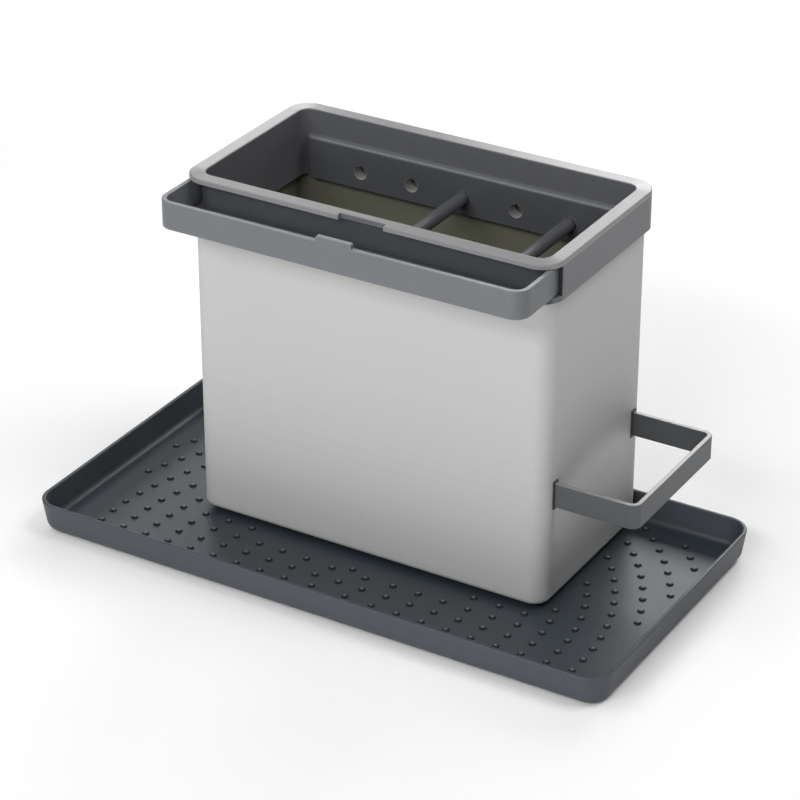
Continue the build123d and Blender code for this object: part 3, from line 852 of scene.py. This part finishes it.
@dataclass
class DripTray(SubAssembly):
    """The tray with its bumps and the pads under it."""

    plastic: Finish = MouldedPlastic(
        "tray_plastic",
        (0.05, 0.057, 0.068),
        layers=(
            # Painted shade: the tray's upward faces, its floor above all, get a darker tone than
            # its walls.
            SmoothTopPaintedLight(level=1.0 * MM, tone=(0.026, 0.034, 0.042), roughness=0.42, coat=0.0),
            # Painted shade on the bumps' flanks and a painted highlight on their crowns.
            BumpsPaintedShadeAndHighlight(
                floor=3.2 * MM,
                top=4.3 * MM,
                half_length=152.0 * MM,
                half_depth=76.0 * MM,
                flank_shade=(0.004, 0.005, 0.006),
                rubbed=(0.1, 0.11, 0.12),
            ),
        ),
    )
    rubber: Finish = SoftRubber("pad_rubber", (0.03, 0.03, 0.033))

    def finishes(self) -> dict[str, Finish]:
        """The finishes of the tray and its pads."""
        pads = {f"tray_pad_{corner.value}": self.rubber for corner in Corner}
        return {"drip_tray": self.plastic, **pads}


@dataclass
class SteelCaddy(SubAssembly):
    """The steel box with its feet, drain plate, bezels and loop guides."""

    steel: Finish = BrushedSteel("satin_steel", (0.545, 0.546, 0.541))
    plate_plastic: Finish = MouldedPlastic("plate_plastic", (0.06, 0.062, 0.066))
    guide_plastic: Finish = MouldedPlastic("guide_plastic", (0.1, 0.102, 0.108), roughness=0.42)
    bezel_plastic: Finish = MouldedPlastic("bezel_plastic", (0.04, 0.042, 0.047), roughness=0.45)
    rubber: Finish = SoftRubber("foot_rubber", (0.018, 0.018, 0.02))

    def finishes(self) -> dict[str, Finish]:
        """The finishes of the box and what it holds.

        Returns:
            The finish of each piece, by the piece's name.
        """
        feet = {f"box_foot_{corner.value}": self.rubber for corner in Corner}
        bezels = {f"slot_bezel_{end.value}": self.bezel_plastic for end in End}
        guides = {f"loop_guide_{end.value}": self.guide_plastic for end in End}
        box = {"steel_box": self.steel, "drain_plate": self.plate_plastic}
        return {**box, **feet, **bezels, **guides}


@dataclass
class Collar(SubAssembly):
    """The collar with its strips and the divider rods."""

    plastic: Finish = MouldedPlastic(
        "collar_plastic",
        (0.113, 0.116, 0.126),
        roughness=0.4,
        layers=(
            # Painted highlight: the lip's top and its outer side get a paler tone.
            SmoothTopPaintedLight(
                level=190.2 * MM,
                tone=(0.24, 0.24, 0.245),
                roughness=0.32,
                coat=0.1,
                fall=0.14,
                side_level=188.5 * MM,
                side_reach=12.4 * MM,
            ),
            # Painted shade on the front wall behind the cloth rail.
            PaintedShadeWall(plane=-20.0 * MM, level=188.2 * MM, tone=(0.035, 0.039, 0.048)),
            # Painted shade, near black, on the front-facing walls past the sides, where the rail's
            # arms go in.
            PaintedShadeWall(
                plane=0.0, level=188.2 * MM, tone=(0.008, 0.008, 0.01), beyond=99.0 * MM
            ),
            HOLE_WALLS_PAINTED_LIGHT,
        ),
    )
    strip_plastic: Finish = MouldedPlastic(
        "strip_plastic",
        (0.085, 0.088, 0.096),
        roughness=0.45,
        layers=(
            # Painted highlight on the strips' tops.
            SmoothTopPaintedLight(level=175.2 * MM, tone=(0.15, 0.155, 0.165), roughness=0.35, coat=0.2),
            HOLE_WALLS_PAINTED_LIGHT,
        ),
    )
    rod_plastic: Finish = MouldedPlastic("rod_plastic", (0.078, 0.08, 0.088), roughness=0.45)

    def finishes(self) -> dict[str, Finish]:
        """The finishes of the collar, the strips and the rods.

        Returns:
            The finish of each piece, by the piece's name.
        """
        strips = {f"rod_strip_{end.value}": self.strip_plastic for end in End}
        rods = {f"divider_rod_{side}": self.rod_plastic for side in ("middle", "right")}
        return {"collar": self.plastic, **strips, **rods}


@dataclass
class ClothRail(SubAssembly):
    """The pull-out cloth rail with its glides."""

    plastic: Finish = MouldedPlastic(
        "rail_plastic",
        (0.134, 0.141, 0.152),
        roughness=0.42,
        layers=(
            # Painted highlight along the rail's top.
            SmoothTopPaintedLight(level=187.0 * MM, tone=(0.2, 0.207, 0.215), roughness=0.35, coat=0.2),
        ),
    )
    glide_plastic: Finish = MouldedPlastic("glide_plastic", (0.1, 0.102, 0.108), roughness=0.35)

    def finishes(self) -> dict[str, Finish]:
        """The finishes of the rail and its glides."""
        glides = {f"rail_glide_{side}": self.glide_plastic for side in ("left", "right")}
        return {"cloth_rail": self.plastic, **glides}


@dataclass
class BottleLoop(SubAssembly):
    """The pull-out bottle loop with the stops on its arms."""

    plastic: Finish = MouldedPlastic(
        "loop_plastic",
        (0.078, 0.082, 0.088),
        roughness=0.45,
        layers=(
            # Painted highlight along the loop's top.
            SmoothTopPaintedLight(level=70.5 * MM, tone=(0.2, 0.2, 0.205), roughness=0.3, coat=0.3),
        ),
    )
    stop_plastic: Finish = MouldedPlastic("stop_plastic", (0.1, 0.102, 0.108), roughness=0.4)

    def finishes(self) -> dict[str, Finish]:
        """The finishes of the loop and its stops."""
        stops = {f"loop_stop_{end.value}": self.stop_plastic for end in End}
        return {"bottle_loop": self.plastic, **stops}


def towards(bearing: float, lift: float) -> Vector:
    """The direction from the caddy to a place around it.

    Args:
        bearing: Degrees from the front, towards the bottle loop.
        lift: Degrees above the level.

    Returns:
        The direction, one unit long.
    """
    turn, rise = math.radians(bearing), math.radians(lift)
    reach = math.cos(rise)
    return Vector((math.sin(turn) * reach, -math.cos(turn) * reach, math.sin(rise)))


@dataclass(frozen=True)
class SoftBox:
    """A soft light panel that faces the caddy, placed by bearing, height angle and distance."""

    name: str
    bearing: float
    lift: float
    distance: float
    width: float
    height: float
    radiance: float
    aim: Place = (0.0, 30.0 * MM, 100.0 * MM)

    def build(self) -> None:
        """Hangs the panel in the scene."""
        light = bpy.data.lights.new(self.name, "AREA")
        light.shape = "RECTANGLE"
        light.size = self.width
        light.size_y = self.height
        light.energy = self.radiance * math.pi * self.width * self.height
        holder = bpy.data.objects.new(self.name, light)
        way = towards(self.bearing, self.lift)
        holder.location = Vector(self.aim) + way * self.distance
        holder.rotation_euler = (-way).to_track_quat("-Z", "Y").to_euler()
        holder.visible_camera = False
        bpy.context.scene.collection.objects.link(holder)


# Each panel's name, bearing, lift, distance, width, height and radiance
PANELS = (
    SoftBox("key_left", 300.0, 58.0, 1.4, 0.75, 0.75, 2.2),
    SoftBox("left_high", 318.0, 40.0, 1.4, 0.7, 0.35, 2.0),
    SoftBox("front", 6.0, 9.0, 1.4, 0.95, 0.5, 3.8),
    SoftBox("front_high", 0.0, 37.5, 1.4, 0.9, 0.3, 10.0),
    SoftBox("key_right", 105.0, 60.0, 1.4, 0.6, 0.6, 6.6),
    SoftBox("behind", 186.0, 25.0, 1.3, 0.84, 0.5, 6.2),
    SoftBox("behind_left_low", 222.0, 12.0, 1.3, 0.4, 0.26, 4.8),
    SoftBox("behind_left_high", 229.0, 41.0, 1.3, 0.3, 0.3, 4.0),
    SoftBox("behind_right", 162.0, 28.0, 1.3, 0.4, 0.5, 2.0),
)


@dataclass
class Studio:
    """The pale floor, the soft light and the camera at the photograph's angle.

    The panels light only the floor near the caddy, so farther out the camera sees a plain
    backdrop, which lights nothing.
    """

    floor_half_size: float = 6.0
    floor_tone: Colour = (0.94, 0.94, 0.94)
    sky_tone: Colour = (1.0, 1.0, 1.0)
    sky_strength: float = 0.03
    backdrop: Colour = (1.0, 1.0, 1.0)
    backdrop_from: float = 0.55
    backdrop_full: float = 0.95
    panels: tuple[SoftBox, ...] = PANELS
    target: Place = (-39.25 * MM, 74.55 * MM, 36.15 * MM)
    azimuth: float = 30.75
    elevation: float = 28.47
    distance: float = 1581.1 * MM
    lens: float = 135.0
    nearest: float = 0.05
    farthest: float = 50.0

    def build(self) -> None:
        """Builds the floor, the sky, the lights and the camera."""
        self.lay_floor()
        self.light_sky()
        for panel in self.panels:
            panel.build()
        self.place_camera()

    def lay_floor(self) -> None:
        """Lays a pale floor under the tray's pads."""
        mesh = bpy.data.meshes.new("floor")
        shape = bmesh.new()
        bmesh.ops.create_grid(shape, x_segments=1, y_segments=1, size=self.floor_half_size)
        shape.to_mesh(mesh)
        shape.free()
        floor = bpy.data.objects.new("floor", mesh)
        bpy.context.scene.collection.objects.link(floor)
        mesh.materials.append(self.floor_material())

    def floor_material(self) -> bpy.types.Material:
        """The floor's material, which passes into the backdrop away from the caddy.

        Returns:
            The material.
        """
        material, wiring = new_material("pale_floor")
        near = wiring.feed(wiring.add("ShaderNodeBsdfDiffuse"), Color=(*self.floor_tone, 1.0))
        far = wiring.add("ShaderNodeEmission")
        wiring.feed(far, Color=(*self.backdrop, 1.0), Strength=1.0)
        reach = wiring.add("ShaderNodeVectorMath", operation="LENGTH")
        wiring.feed(reach, Vector=wiring.position())
        away = wiring.smooth(reach.outputs["Value"], self.backdrop_from, self.backdrop_full)
        seen = wiring.add("ShaderNodeLightPath").outputs["Is Camera Ray"]
        both = wiring.mix(wiring.times(away, seen), near, far)
        wiring.feed(wiring.add("ShaderNodeOutputMaterial"), Surface=both)
        return material

    def light_sky(self) -> None:
        """Lights the room faintly from all round, with the backdrop for the camera."""
        world = bpy.data.worlds.new("studio")
        world.use_nodes = True
        wiring = Wiring(world.node_tree)
        sky = wiring.add("ShaderNodeBackground")
        wiring.feed(sky, Color=(*self.sky_tone, 1.0), Strength=self.sky_strength)
        far = wiring.add("ShaderNodeBackground")
        wiring.feed(far, Color=(*self.backdrop, 1.0), Strength=1.0)
        seen = wiring.add("ShaderNodeLightPath").outputs["Is Camera Ray"]
        both = wiring.mix(seen, sky, far)
        wiring.feed(wiring.add("ShaderNodeOutputWorld"), Surface=both)
        bpy.context.scene.world = world

    def place_camera(self) -> None:
        """Places the camera where the photograph was taken."""
        back = towards(self.azimuth, self.elevation)
        lens = bpy.data.cameras.new("camera")
        lens.lens = self.lens
        lens.clip_start = self.nearest
        lens.clip_end = self.farthest
        camera = bpy.data.objects.new("camera", lens)
        camera.location = Vector(self.target) + back * self.distance
        camera.rotation_euler = (-back).to_track_quat("-Z", "Y").to_euler()
        bpy.context.scene.collection.objects.link(camera)
        bpy.context.scene.camera = camera
        bpy.context.scene.view_settings.view_transform = "Standard"


def main() -> None:
    """Builds and dresses the caddy, then its studio."""
    logging.basicConfig(level=logging.INFO, format="%(name)s: %(message)s")
    effects = SurfaceEffects()
    for assembly in (DripTray(), SteelCaddy(), Collar(), ClothRail(), BottleLoop()):
        assembly.build()
        assembly.dress(effects)
        LOG.info("%s is dressed", type(assembly).__name__)
    Studio().build()


if __name__ == "__main__":
    main()
